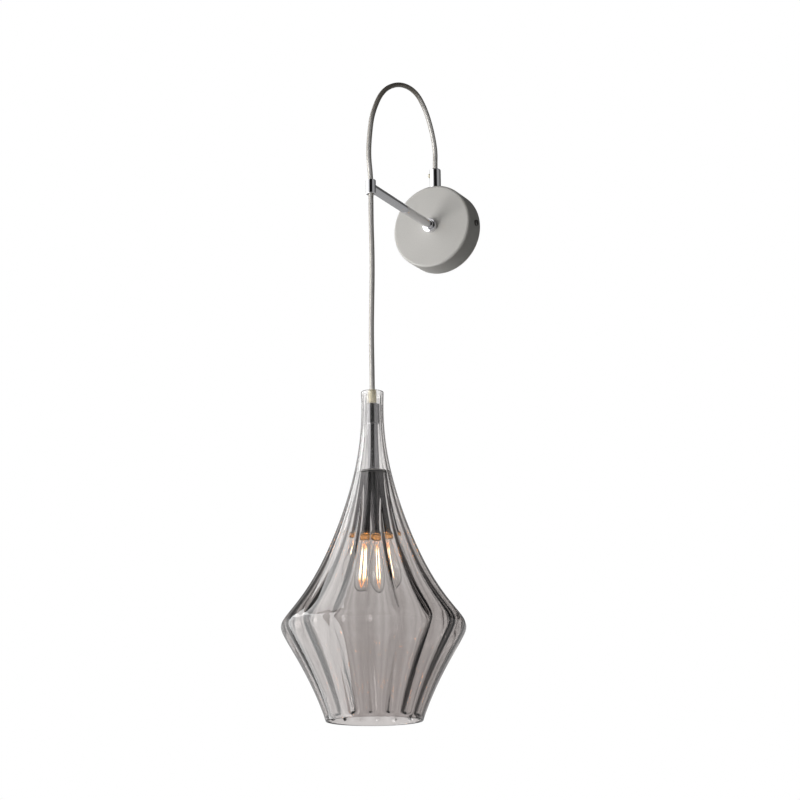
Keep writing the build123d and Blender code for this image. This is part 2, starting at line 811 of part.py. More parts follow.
def fade(distance, length):
    """0 before the flutes start and 1 once they are full, length further on."""
    share = min(max(distance / length, 0), 1)
    return share * share * (3 - 2 * share)


def relief(depth):
    """Share of the flutes' full relief: none at either rim."""
    return fade(depth, neck_fade) * fade(shade_height - shade_rim_collar - depth, mouth_fade)


def wall_slope(depth):
    """Horizontal wall thickness for one millimetre of true thickness."""
    step = 1.0
    rise = (crest_radius(depth + step) - crest_radius(depth - step)) / (2 * step)
    return math.hypot(1, rise)


def outer_radii(depth):
    crest = crest_radius(depth)
    return crest, crest * (1 - flute_depth_share * relief(depth))


def rib_height(depth):
    """How much thicker the glass is in a valley than on a crest: little in the narrow neck."""
    growth = 1 - math.exp(-((crest_radius(depth) / rib_radius) ** 2))
    return rib_rise * growth * relief(depth)


def inner_radii(depth):
    crest, valley = outer_radii(depth)
    slope = wall_slope(depth)
    return crest - crest_wall * slope, valley - (crest_wall + rib_height(depth)) * slope


def seat_depth():
    """Depth at which the glass is just wide enough for the gasket, by halving."""
    goal = cup_dia / 2 + gasket_overhang + seat_clearance
    low, high = 0.0, shade_height / 2
    while high - low > close_clearance / 1000:
        middle = (low + high) / 2
        if inner_radii(middle)[1] < goal:
            low = middle
        else:
            high = middle
    return high


gasket_bottom = cup_top + close_clearance
with BuildPart() as shade_gasket:
    with BuildSketch(level(gasket_bottom)):
        Circle(cup_dia / 2 + gasket_overhang)
        Circle(stem_dia / 2 + gasket_bore_clearance, mode=Mode.SUBTRACT)
    extrude(amount=gasket_thickness)

shade_top = gasket_bottom + gasket_thickness + seat_depth()
belly_depth = max(range(int(shade_height)), key=crest_radius)
neck_steps = 14
cone_steps = 9
points_per_flute = 6
shade_depths = [belly_depth * math.sin(math.pi / 2 * k / neck_steps) for k in range(neck_steps)]
full_flute_end = shade_height - shade_rim_collar - mouth_fade
shade_depths += [
    belly_depth + (full_flute_end - belly_depth) * (1 - math.cos(math.pi / 2 * k / cone_steps))
    for k in range(cone_steps + 1)
]
shade_depths += [shade_height - shade_rim_collar, shade_height]


def fluted_ring(radii):
    """Closed outline of round-backed flutes with a valley between each two."""
    crest, valley = radii
    point_count = shade_flutes * points_per_flute
    points = []
    for k in range(point_count):
        swell = math.sin(math.pi * (k % points_per_flute) / points_per_flute)
        turn = flute_turn - 90 + 360 * k / point_count
        points.append(Vector(valley + (crest - valley) * swell, 0).rotate(Axis.Z, turn))
    Spline(*points, periodic=True)


with BuildPart() as glass_shade:
    for radii_at, mode in ((outer_radii, Mode.ADD), (inner_radii, Mode.SUBTRACT)):
        for depth in shade_depths:
            with BuildSketch(level(shade_top - depth)):
                with BuildLine():
                    fluted_ring(radii_at(depth))
                make_face()
        loft(mode=mode)

# ---------------------------------------------------------------- hand over the pieces
pieces = {
    "canopy": canopy,
    "wall_bracket": wall_bracket,
    "canopy_screws": canopy_screws,
    "arm_tube": arm_tube,
    "arm_collar": arm_collar,
    "arm_stud": arm_stud,
    "arm_washer": arm_washer,
    "arm_nut": arm_nut,
    "cord_guide": cord_guide,
    "guide_liner": guide_liner,
    "cord_grip": cord_grip,
    "grip_screw": grip_screw,
    "grip_nut": grip_nut,
    "terminal_block": terminal_block,
    "terminal_screws": terminal_screws,
    "earth_tag": earth_tag,
    "earth_screw": earth_screw,
    "cable_loop": cable_loop,
    "cable_tail": cable_tail,
    "live_wire": live_wire,
    "neutral_wire": neutral_wire,
    "earth_wire": earth_wire,
    "cable_flex": cable_flex,
    "cable_drop": cable_drop,
    "neck_gland": neck_gland,
    "neck_collar": neck_collar,
    "stem_tube": stem_tube,
    "cup_nipple": cup_nipple,
    "cup_nut": cup_nut,
    "lamp_cup": lamp_cup,
    "cup_ring": cup_ring,
    "lampholder_cap": lampholder_cap,
    "lampholder_body": lampholder_body,
    "socket_shell": socket_shell,
    "socket_contact": socket_contact,
    "holder_wires": holder_wires,
    "shade_gasket": shade_gasket,
    "glass_shade": glass_shade,
    "bulb_contact": bulb_contact,
    "bulb_insulator": bulb_insulator,
    "bulb_cap": bulb_cap,
    "bulb_envelope": bulb_envelope,
    "bulb_stem": bulb_stem,
    "bulb_filaments": bulb_filaments,
    "filament_wires": filament_wires,
}
for name, piece in pieces.items():
    piece.part.label = name
    export_step(piece.part, f"parts/{name}.step")

loop_length = cord_path(loop_points).length
swept_length = cable_loop.part.volume / (math.pi * cord_radius**2)
print("loop radii", [round(radius) for radius in tangent_radii(loop_points)])
print("loop length", round(loop_length, 2), "by volume", round(swept_length, 2))
print("shade top", round(shade_top, 2), "mouth", round(shade_top - shade_height, 2))
print("belly", belly_depth, round(crest_radius(belly_depth), 2))
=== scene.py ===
import math

import bmesh
import bpy
import numpy as np
from mathutils import Matrix, Vector


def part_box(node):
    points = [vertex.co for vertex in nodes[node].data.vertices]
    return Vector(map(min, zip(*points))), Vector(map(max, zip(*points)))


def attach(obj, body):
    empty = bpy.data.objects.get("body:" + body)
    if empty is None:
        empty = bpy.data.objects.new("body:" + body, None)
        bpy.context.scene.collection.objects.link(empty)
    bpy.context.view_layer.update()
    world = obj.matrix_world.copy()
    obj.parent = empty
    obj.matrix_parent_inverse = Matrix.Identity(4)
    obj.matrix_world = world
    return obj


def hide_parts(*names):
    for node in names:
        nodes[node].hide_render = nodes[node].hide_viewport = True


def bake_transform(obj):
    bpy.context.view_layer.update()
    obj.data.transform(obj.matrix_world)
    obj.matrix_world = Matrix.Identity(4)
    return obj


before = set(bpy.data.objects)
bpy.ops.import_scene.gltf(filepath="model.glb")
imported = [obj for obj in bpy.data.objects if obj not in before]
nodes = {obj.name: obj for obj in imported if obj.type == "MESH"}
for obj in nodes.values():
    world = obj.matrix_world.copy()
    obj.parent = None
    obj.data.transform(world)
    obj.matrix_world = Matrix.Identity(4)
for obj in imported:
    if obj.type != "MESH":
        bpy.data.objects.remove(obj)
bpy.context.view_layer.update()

scene = bpy.context.scene
scene.view_settings.view_transform = "Standard"

# Everything is in metres in the frame of the CAD model. The canopy's back is the plane y = 0, and the lamp
# hangs on the upright axis x = 0, y = AXIS_Y.
MM = 0.001
AXIS_Y = -172.4 * MM


# ---------------------------------------------------------------- camera
CAMERA_PLACE = (0.9796, -1.92438, -0.78109)
CAMERA_RIGHT = (0.87860797, 0.47743298, -0.01028541)
CAMERA_UP = (0.1320085, -0.22212036, 0.96604156)
CAMERA_BACK = (0.4589355, -0.85012958, -0.25818193)
CAMERA_LENS = 86.8


def add_camera():
    """Camera at the photograph's viewing angle: in front of the lamp, to its right and a little below."""
    data = bpy.data.cameras.new("camera")
    camera = bpy.data.objects.new("camera", data)
    turn = Matrix((CAMERA_RIGHT, CAMERA_UP, CAMERA_BACK)).transposed().to_4x4()
    camera.matrix_world = Matrix.Translation(CAMERA_PLACE) @ turn
    data.sensor_width = 36.0
    data.lens = CAMERA_LENS
    data.clip_start = 0.05
    scene.collection.objects.link(camera)
    scene.camera = camera


add_camera()


# ---------------------------------------------------------------- shader helpers
class Nodes:
    """Short ways to add nodes to a tree."""

    def __init__(self, tree):
        self.tree = tree

    def node(self, kind, **values):
        made = self.tree.nodes.new(kind)
        for name, value in values.items():
            setattr(made, name, value)
        return made

    def link(self, source, target):
        self.tree.links.new(source, target)

    def math(self, operation, first, second=0):
        node = self.node("ShaderNodeMath", operation=operation)
        for socket, value in zip(node.inputs, (first, second)):
            if isinstance(value, (int, float)):
                socket.default_value = value
            else:
                self.link(value, socket)
        return node.outputs["Value"]


class Material(Nodes):
    """A node material with one Principled shader and short ways to add detail to it."""

    def __init__(self, name, color, roughness, metallic=0.0, **sockets):
        self.material = bpy.data.materials.new(name)
        self.material.use_nodes = True
        super().__init__(self.material.node_tree)
        self.shader = self.tree.nodes["Principled BSDF"]
        self.set("Base Color", (*color, 1.0))
        self.set("Roughness", roughness)
        self.set("Metallic", metallic)
        for socket, value in sockets.items():
            self.set(socket.replace("_", " "), value)

    def set(self, socket, value):
        self.shader.inputs[socket].default_value = value

    def split(self, source):
        """The X, Y and Z of a vector output."""
        parts = self.node("ShaderNodeSeparateXYZ")
        self.link(source, parts.inputs["Vector"])
        return parts.outputs["X"], parts.outputs["Y"], parts.outputs["Z"]

    def point(self):
        """The X, Y and Z of the point being shaded, in metres."""
        return self.split(self.node("ShaderNodeTexCoord").outputs["Object"])

    def place(self, scale=(1, 1, 1)):
        """Object coordinates, stretched by scale."""
        coordinates = self.node("ShaderNodeTexCoord")
        mapping = self.node("ShaderNodeMapping")
        mapping.inputs["Scale"].default_value = scale
        self.link(coordinates.outputs["Object"], mapping.inputs["Vector"])
        return mapping.outputs["Vector"]

    def noise(self, scale, detail=3.0, stretch=(1, 1, 1)):
        """Noise from 0 to 1, with scale features a metre."""
        noise = self.node("ShaderNodeTexNoise")
        noise.inputs["Scale"].default_value = scale
        noise.inputs["Detail"].default_value = detail
        self.link(self.place(stretch), noise.inputs["Vector"])
        return noise.outputs["Fac"]

    def span(self, value, low, high, from_low=0.0, from_high=1.0):
        """value, moved from one range to another."""
        span = self.node("ShaderNodeMapRange")
        for name, number in (
            ("From Min", from_low),
            ("From Max", from_high),
            ("To Min", low),
            ("To Max", high),
        ):
            span.inputs[name].default_value = number
        self.link(value, span.inputs["Value"])
        return span.outputs["Result"]

    def ramp(self, value, *stops):
        """Colour ramp with stops of (position, (r, g, b))."""
        ramp = self.node("ShaderNodeValToRGB")
        elements = ramp.color_ramp.elements
        while len(elements) < len(stops):
            elements.new(0.5)
        for element, (position, color) in zip(elements, stops):
            element.position = position
            element.color = (*color, 1.0)
        self.link(value, ramp.inputs["Fac"])
        return ramp.outputs["Color"]

    def facing(self):
        """0 where a surface faces the viewer, to 1 at its outline."""
        weight = self.node("ShaderNodeLayerWeight")
        weight.inputs["Blend"].default_value = 0.5
        return weight.outputs["Facing"]

    def multiply(self, first, second):
        """Product of two colours."""
        mix = self.node("ShaderNodeMix", data_type="RGBA", blend_type="MULTIPLY")
        mix.inputs["Factor"].default_value = 1.0
        self.link(first, mix.inputs["A"])
        self.link(second, mix.inputs["B"])
        return mix.outputs["Result"]

    def glow(self, source, strength):
        """Emission of a colour output at strength."""
        self.link(source, self.shader.inputs["Emission Color"])
        self.set("Emission Strength", strength)

    def color(self, source):
        self.link(source, self.shader.inputs["Base Color"])

    def roughness(self, low, high, scale, detail=4.0):
        """Uneven gloss, from low to high."""
        uneven = self.span(self.noise(scale, detail), low, high, 0.3, 0.7)
        self.link(uneven, self.shader.inputs["Roughness"])

    def bump(self, height, distance, strength=1.0):
        """Bump of height times distance, in metres, on top of any bump made before."""
        bump = self.node("ShaderNodeBump")
        bump.inputs["Distance"].default_value = distance
        bump.inputs["Strength"].default_value = strength
        self.link(height, bump.inputs["Height"])
        normal = self.shader.inputs["Normal"]
        if normal.is_linked:
            self.link(normal.links[0].from_socket, bump.inputs["Normal"])
        self.link(bump.outputs["Normal"], normal)


def speckled(name, color, spread, roughness, scale, metallic=0.0, **sockets):
    """Material whose colour drifts a little, by spread, and whose gloss is uneven."""
    made = Material(name, color, roughness, metallic, **sockets)
    low = [channel * (1 - spread) for channel in color]
    high = [min(channel * (1 + spread), 1) for channel in color]
    made.color(made.ramp(made.noise(scale), (0.35, low), (0.65, high)))
    made.roughness(roughness * 0.8, roughness * 1.25, scale * 1.7)
    return made


# ---------------------------------------------------------------- materials
paint = Material("putty_paint", (0.6, 0.585, 0.555), 0.55, Specular_IOR_Level=0.4)
paint.color(paint.ramp(paint.noise(900, 5), (0.3, (0.545, 0.53, 0.5)), (0.7, (0.595, 0.58, 0.55))))
paint.roughness(0.46, 0.62, 1200)
paint.bump(paint.noise(3200, 2), 0.00003)

chrome = Material("chrome", (0.71, 0.71, 0.73), 0.05, 1.0)
chrome.roughness(0.03, 0.09, 300)
chrome.bump(chrome.noise(90, 2), 0.00002)
dark_chrome = Material("dark_chrome", (0.2, 0.195, 0.2), 0.07, 1.0)
dark_chrome.roughness(0.04, 0.12, 260)
screw_black = Material("blackened_screw", (0.16, 0.155, 0.15), 0.16, 1.0)
screw_black.roughness(0.12, 0.25, 900)

ring_metal = speckled("brushed_ring", (0.3, 0.27, 0.24), 0.3, 0.2, 600, 1.0)
ring_metal.bump(ring_metal.noise(900, 2), 0.00005)

zinc = speckled("zinc_steel", (0.6, 0.6, 0.58), 0.12, 0.38, 220, 1.0)
zinc.bump(zinc.noise(700, 3), 0.00003)
brass = speckled("brass", (0.72, 0.56, 0.28), 0.1, 0.3, 260, 1.0)
nickel = speckled("bulb_nickel", (0.66, 0.65, 0.62), 0.08, 0.24, 300, 1.0)
nylon = speckled("clear_nylon", (0.9, 0.84, 0.66), 0.04, 0.25, 500, Transmission_Weight=0.5, IOR=1.5)
white_nylon = speckled("white_nylon", (0.83, 0.83, 0.8), 0.04, 0.45, 500)
holder_plastic = speckled("holder_plastic", (0.72, 0.7, 0.65), 0.05, 0.5, 420)
holder_plastic.bump(holder_plastic.noise(1400, 2), 0.00004)
silicone = speckled("silicone", (0.16, 0.155, 0.15), 0.08, 0.4, 420)
black_glass = speckled("bulb_black_glass", (0.03, 0.03, 0.035), 0.2, 0.15, 300)
core_brown = speckled("core_brown", (0.2, 0.085, 0.04), 0.1, 0.35, 600)
core_blue = speckled("core_blue", (0.05, 0.16, 0.5), 0.1, 0.35, 600)
core_earth = Material("core_earth", (0.2, 0.42, 0.08), 0.35)
earth_stripes = core_earth.noise(320, 0, (1, 1, 0.2))
core_earth.color(core_earth.ramp(earth_stripes, (0.48, (0.12, 0.36, 0.06)), (0.52, (0.75, 0.68, 0.08))))
core_earth.roughness(0.28, 0.45, 600)


BRAID_STRANDS = 12
BRAID_PITCH = 14.0 * MM


def braid_material():
    """Silver braid of crossing strands under a clear sheath, mapped by a tube's length and turns. Its
    colour has painted shade in the gaps between strands and towards its outline.
    """
    sheath = {"Coat_Weight": 0.12, "Coat_Roughness": 0.2, "Specular_IOR_Level": 0.25}
    made = Material("braided_cord", (0.5, 0.48, 0.44), 0.4, 0.15, **sheath)
    length, turn, _ = made.split(made.node("ShaderNodeUVMap", uv_map="braid").outputs["UV"])
    along = made.math("MULTIPLY", length, math.pi * BRAID_STRANDS / BRAID_PITCH)
    around = made.math("MULTIPLY", turn, math.pi * BRAID_STRANDS)
    over = made.math("SINE", made.math("ADD", around, along))
    under = made.math("SINE", made.math("SUBTRACT", around, along))
    weave = made.math("MAXIMUM", made.math("ABSOLUTE", over), made.math("ABSOLUTE", under))
    # The weave is darkest in the gaps between strands, as painted shade, and lightest on their crowns.
    strands_and_gap_shade = made.ramp(
        weave,
        (0.35, (0.2, 0.185, 0.165)),
        (0.75, (0.55, 0.53, 0.5)),
        (0.98, (0.82, 0.81, 0.79)),
    )
    # Painted shade: the cord darkens from a pale middle towards its outline.
    painted_outline_shade = made.ramp(
        made.facing(),
        (0.12, (1, 1, 1)),
        (0.42, (0.56, 0.52, 0.46)),
        (0.8, (0.2, 0.17, 0.14)),
    )
    made.color(made.multiply(strands_and_gap_shade, painted_outline_shade))
    made.bump(weave, 0.00003)
    made.link(made.span(weave, 0.5, 0.22), made.shader.inputs["Roughness"])
    return made


braid = braid_material()
plain_cord = speckled("cord_in_shadow", (0.5, 0.48, 0.45), 0.2, 0.35, 900, 0.3)


def glass_material(name, color, density):
    """Clear glass that absorbs (1 - color) * density per metre, so thicker glass looks darker."""
    made = Material(name, (1, 1, 1), 0.0, Transmission_Weight=1.0, IOR=1.5)
    absorption = made.node("ShaderNodeVolumeAbsorption")
    absorption.inputs["Color"].default_value = (*color, 1.0)
    absorption.inputs["Density"].default_value = density
    made.link(absorption.outputs["Volume"], made.tree.nodes["Material Output"].inputs["Volume"])
    return made


smoked_glass = glass_material("smoked_glass", (0.3, 0.25, 0.23), 70.0)


def smoke():
    """The smoke is faint in the neck and deepest in the belly and the cone below it."""
    low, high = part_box("glass_shade")
    share = smoked_glass.span(smoked_glass.point()[2], 0.0, 1.0, low.z, high.z)
    smoked_glass.color(
        smoked_glass.ramp(
            share,
            (0.0, (0.70, 0.67, 0.66)),
            (0.26, (0.73, 0.705, 0.695)),
            (0.4, (0.82, 0.80, 0.79)),
            (0.75, (0.95, 0.945, 0.94)),
        )
    )


smoke()
smoked_glass.bump(smoked_glass.noise(26, 2, (1, 1, 0.35)), 0.00035)
bulb_glass = glass_material("bulb_glass", (0.8, 0.77, 0.72), 90.0)

filament = Material("filament", (1.0, 0.8, 0.42), 0.5)
# Glow of the rods' mirror images, a painted reflection.
PAINTED_REFLECTION_GLOW = (80.0, 30.0, 6.0, 1.0)


def filament_glow():
    """White hot along the middle of each rod, and orange at its sides and ends; its mirror images are a
    painted reflection, orange and far brighter than the rods.
    """
    low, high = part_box("bulb_filaments")
    share = filament.span(filament.point()[2], 0.0, 1.0, low.z, high.z)
    along = filament.ramp(
        share,
        (0.0, (0.16, 0.05, 0.01)),
        (0.06, (0.28, 0.11, 0.03)),
        (0.14, (1.0, 0.84, 0.58)),
        (0.86, (1.0, 0.84, 0.58)),
        (0.94, (0.28, 0.11, 0.03)),
        (1.0, (0.16, 0.05, 0.01)),
    )
    across = filament.ramp(filament.facing(), (0.3, (1, 1, 1)), (0.62, (0.22, 0.1, 0.035)))
    # Where the rods are seen in a mirror, their glow is painted orange and far brighter, as a painted
    # reflection.
    path = filament.node("ShaderNodeLightPath")
    mirrored = filament.math("MINIMUM", path.outputs["Glossy Depth"], 1.0)
    reflection_glow = filament.node("ShaderNodeMix", data_type="RGBA")
    reflection_glow.inputs["B"].default_value = PAINTED_REFLECTION_GLOW
    filament.link(mirrored, reflection_glow.inputs["Factor"])
    filament.link(filament.multiply(along, across), reflection_glow.inputs["A"])
    filament.glow(reflection_glow.outputs["Result"], 6.0)


filament_glow()
# The lead wires are given an orange glow, painted lamp light standing in for the filaments' light on them.
lamp_lit_wire = Material("filament_wire", (0.8, 0.5, 0.25), 0.3, 1.0)
lamp_lit_wire.roughness(0.2, 0.4, 900)
lamp_lit_wire.set("Emission Color", (1.0, 0.32, 0.06, 1.0))
lamp_lit_wire.set("Emission Strength", 0.9)

LAMP_LIGHT = (1.0, 0.47, 0.14)
LAMP_LIGHT_STRENGTH = 1.3
CUP_INSIDE = 14.5 * MM
CUP_LIT_HEIGHT = 16.0 * MM


def lamp_light(made, amount):
    """Lets a surface glow with the filaments' light, unevenly, where amount is 1."""
    uneven = made.span(made.noise(520, 2), 0.0, 1.0, 0.42, 0.56)
    lit = made.ramp(made.math("MULTIPLY", amount, uneven), (0.0, (0, 0, 0)), (1.0, LAMP_LIGHT))
    made.glow(lit, LAMP_LIGHT_STRENGTH)


def light_from_below(made):
    """Lets the faces that look down glow."""
    normal = made.split(made.node("ShaderNodeNewGeometry").outputs["Normal"])
    lamp_light(made, made.span(normal[2], 1.0, 0.0, -0.6, -0.15))


def light_inside_cup(made):
    """Lets the inside of the lamp cup glow, from its rim up."""
    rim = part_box("lamp_cup")[0].z
    across, ahead, height = made.point()
    ahead = made.math("SUBTRACT", ahead, AXIS_Y)
    square = made.math("ADD", made.math("POWER", across, 2), made.math("POWER", ahead, 2))
    inside = made.span(square, 1.0, 0.0, CUP_INSIDE**2, (CUP_INSIDE + 0.2 * MM) ** 2)
    near = made.span(height, 1.0, 0.0, rim, rim + CUP_LIT_HEIGHT)
    lamp_light(made, made.math("MULTIPLY", inside, near))


light_from_below(ring_metal)
light_inside_cup(dark_chrome)
light_inside_cup(holder_plastic)


# ---------------------------------------------------------------- mesh helpers
def add_mesh(name, vertices, faces, material, slot, body, sharp=math.radians(35)):
    """Smooth mesh that rides on body, or on nothing yet where body is None."""
    mesh = bpy.data.meshes.new(name)
    mesh.from_pydata([tuple(v) for v in vertices], [], faces)
    mesh.update()
    piece = bpy.data.objects.new(name, mesh)
    scene.collection.objects.link(piece)
    work = bmesh.new()
    work.from_mesh(mesh)
    bmesh.ops.recalc_face_normals(work, faces=work.faces)
    work.to_mesh(mesh)
    work.free()
    mesh.shade_smooth()
    mesh.set_sharp_from_angle(angle=sharp)
    mesh.materials.append(material.material)
    if body:
        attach(piece, body)
    return piece


def turned(name, outline, material, slot, body, sides=128):
    """Solid of revolution round the lamp's axis from a closed outline of (radius, height) points."""
    turns = np.linspace(0, 2 * math.pi, sides, endpoint=False)
    rows = [ring_points(radius * np.ones(sides), height, turns) for radius, height in outline]
    return add_mesh(name, np.concatenate(rows), ring_faces(len(outline), sides), material, slot, body)


def ring_points(radii, height, turns):
    """Points at radii and turns round the lamp's axis, at one height."""
    across, ahead = radii * np.cos(turns), AXIS_Y + radii * np.sin(turns)
    return np.stack((across, ahead, np.full(len(turns), height)), 1)


def ring_faces(rows, sides, closed=True):
    """Quads between rings of sides points; closed joins the last ring to the first."""
    faces = []
    for row in range(rows if closed else rows - 1):
        here, after = row * sides, (row + 1) % rows * sides
        for side in range(sides):
            turn = (side + 1) % sides
            faces.append((here + side, here + turn, after + turn, after + side))
    return faces


# ---------------------------------------------------------------- cords
CORD_DIA = 5.5 * MM
LINK_RINGS = 13
LOOP_ROUTE = [
    (0, -172.4, -6.1),
    (0, -172.4, 12.0),
    (0, -177.6, 36.0),
    (0, -174.6, 63.0),
    (0, -168.0, 91.0),
    (0, -144.0, 128.0),
    (0, -104.0, 152.0),
    (0, -65.0, 158.0),
    (0, -41.0, 146.5),
    (0, -23.5, 124.0),
    (0, -14.2, 100.0),
    (0, -15.5, 81.0),
    (0, -15.5, 65.0),
]


def spline_points(route):
    """Points along the smooth curve that a route's points control, in metres."""
    data = bpy.data.curves.new("route", "CURVE")
    data.dimensions = "3D"
    data.resolution_u = 24
    spline = data.splines.new("NURBS")
    spline.points.add(len(route) - 1)
    for point, place in zip(spline.points, route):
        point.co = (*(coordinate * MM for coordinate in place), 1.0)
    spline.order_u = 3
    spline.use_endpoint_u = True
    curve = bpy.data.objects.new("route", data)
    scene.collection.objects.link(curve)
    bpy.context.view_layer.update()
    mesh = bpy.data.meshes.new_from_object(curve)
    points = [vertex.co.copy() for vertex in mesh.vertices]
    bpy.data.objects.remove(curve)
    bpy.data.meshes.remove(mesh)
    return points


def tube(name, points, dia, material, slot, body, sides=24):
    """Round tube with closed ends along points, with a map of its length and its turns."""
    vertices, lengths = [], [0.0]
    side = Vector((1, 0, 0))
    for k, point in enumerate(points):
        if k:
            lengths.append(lengths[-1] + (point - points[k - 1]).length)
        ahead = points[min(k + 1, len(points) - 1)] - points[max(k - 1, 0)]
        across = side.cross(ahead).normalized()
        side = ahead.cross(across).normalized()
        across = side.cross(ahead).normalized()
        for turn in range(sides):
            angle = 2 * math.pi * turn / sides
            vertices.append(point + dia / 2 * (math.cos(angle) * side + math.sin(angle) * across))
    faces = ring_faces(len(points), sides, closed=False)
    last = (len(points) - 1) * sides
    faces.append(tuple(range(sides)))
    faces.append(tuple(last + turn for turn in range(sides)))
    piece = add_mesh(name, vertices, faces, material, slot, body, sharp=math.radians(60))
    layer = piece.data.uv_layers.new(name="braid")
    for polygon in piece.data.polygons:
        turns = [piece.data.loops[k].vertex_index % sides for k in polygon.loop_indices]
        wraps = len(turns) == 4 and max(turns) - min(turns) > sides / 2
        for k, turn in zip(polygon.loop_indices, turns):
            row = piece.data.loops[k].vertex_index // sides
            around = turn + sides if wraps and turn == 0 else turn
            layer.data[k].uv = (lengths[row], around / sides)
    return piece


loop_points = spline_points(LOOP_ROUTE)
cord_loop = tube("cord_loop", loop_points, CORD_DIA, braid, "braided_cord", "root")
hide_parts("cable_loop")

# The cord under the guide bends at two places, so it is a short link and a hanging run.
link_low, link_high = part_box("cable_flex")
link_heights = np.linspace(link_high.z, link_low.z, LINK_RINGS)
link_points = [Vector((0, AXIS_Y, height)) for height in link_heights]
cord_link_piece = tube("cord_under_guide", link_points, CORD_DIA, braid, "braided_cord", None)
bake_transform(cord_link_piece)
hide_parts("cable_flex")

drop_low, drop_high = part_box("cable_drop")
DROP_ROUTE = [
    (0, -172.4, drop_high.z / MM),
    (0, -172.4, -44.0),
    (0.9, -172.4, -72.0),
    (0.9, -172.4, -104.0),
    (0.0, -172.4, -136.0),
    (-0.7, -172.4, -168.0),
    (-0.3, -172.4, -200.0),
    (0, -172.4, -228.0),
    (0, -172.4, -262.0),
    (0, -172.4, -300.0),
    (0, -172.4, drop_low.z / MM),
]
drop_points = spline_points(DROP_ROUTE)
cord_drop = tube("cord_drop", drop_points, CORD_DIA, braid, "braided_cord", None)
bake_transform(cord_drop)
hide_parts("cable_drop")

# ---------------------------------------------------------------- glass shade
# These sizes are in millimetres, and depths run down from the top rim. The crests are where the CAD model
# has them. The flutes outside are shallower than its own, and the ribs inside are taller.
SHADE_HEIGHT = 352.0
RIM_COLLAR = 2.5
FLUTES = 16
FLUTE_DEPTH_SHARE = 0.01
FLUTE_TURN = 1.6
FLUTE_FADE = 11.0
MOUTH_FADE = 5.0
CREST_WALL = 2.2
RIB_RISE = 3.5
RIB_RADIUS = 35.0
GROOVE = 0.15
CREST_BEND = 0.45
BELLY_SOFTNESS = 15.6
FLARE = [(0, 12.4), (50, 13.7), (100, 22.8), (150, 39.0), (200, 62.3), (250, 101.9)]
CONE = [(0, 50.4), (45, 70.0), (90, 97.7)]
flare_curve = np.polyfit(*zip(*FLARE), len(FLARE) - 1)
cone_curve = np.polyfit(*zip(*CONE), len(CONE) - 1)


def crest_radius(depth):
    """Radius of the flutes' crests in millimetres, depth below the top rim."""
    flare = np.polyval(flare_curve, depth)
    cone = np.polyval(cone_curve, SHADE_HEIGHT - depth)
    return (flare + cone - np.hypot(flare - cone, BELLY_SOFTNESS)) / 2


def fade(distance, length):
    share = np.clip(distance / length, 0, 1)
    return share * share * (3 - 2 * share)


def shade_walls(depth):
    """Crest and valley radii outside, and inside, at a depth."""
    crest = crest_radius(depth)
    rise = (crest_radius(depth + 1) - crest_radius(depth - 1)) / 2
    slope = np.hypot(1, rise)
    relief = fade(depth, FLUTE_FADE) * fade(SHADE_HEIGHT - RIM_COLLAR - depth, MOUTH_FADE)
    valley = crest * (1 - FLUTE_DEPTH_SHARE * relief) - GROOVE * relief
    rib = RIB_RISE * (1 - np.exp(-((crest / RIB_RADIUS) ** 4))) * relief
    inner_valley = valley - (CREST_WALL + rib) * slope
    return (crest, valley), (crest - CREST_WALL * slope, inner_valley)


def flute_swell(across):
    """1 on the crest and 0 in the valleys at -1 and 1: a tight bend on the crest, and straighter sides."""
    return 1 - (np.hypot(1, across / CREST_BEND) - 1) / (math.hypot(1, 1 / CREST_BEND) - 1)


def shade_shell(per_flute=20, rows=150, rim_steps=6):
    """Dense two-walled mesh of the fluted shade with rounded rims."""
    sides = FLUTES * per_flute
    steps = np.arange(sides)
    swell = flute_swell(2 * (steps % per_flute) / per_flute - 1)
    turns = np.radians(FLUTE_TURN - 90 + 360 * steps / sides)
    rim = CREST_WALL / 2
    depths = np.linspace(rim, SHADE_HEIGHT - rim, rows)
    near_mouth = SHADE_HEIGHT - RIM_COLLAR - MOUTH_FADE * np.linspace(0, 1, 9)
    depths = np.union1d(depths, near_mouth)

    def ring(radii, depth):
        crest, valley = radii
        return ring_points((valley + (crest - valley) * swell) * MM, shade_top - depth * MM, turns)

    rings = [ring(shade_walls(depth)[0], depth) for depth in depths]
    for end, direction in ((SHADE_HEIGHT - rim, 1), (rim, -1)):
        outer, inner = shade_walls(end)
        first, last = (outer, inner) if direction > 0 else (inner, outer)
        for step in range(1, rim_steps):
            angle = math.pi * step / rim_steps
            share = (1 - math.cos(angle)) / 2
            radii = [a + (b - a) * share for a, b in zip(first, last)]
            rings.append(ring(radii, end + direction * rim * math.sin(angle)))
        if direction > 0:
            rings += [ring(shade_walls(depth)[1], depth) for depth in depths[::-1]]
    shell = add_mesh(
        "glass_shade_shell",
        np.concatenate(rings),
        ring_faces(len(rings), sides),
        smoked_glass,
        "smoked_glass",
        "shade",
        sharp=math.radians(50),
    )
    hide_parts("glass_shade")
    shell.visible_shadow = False


shade_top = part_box("glass_shade")[1].z
shade_shell()

# ---------------------------------------------------------------- lamp
BULB_RADIUS = 22.5 * MM
BULB_NECK = 6.3 * MM
BULB_STRAIGHT = 3.0 * MM
BULB_WALL = 0.8 * MM
ON_AXIS = 0.01 * MM


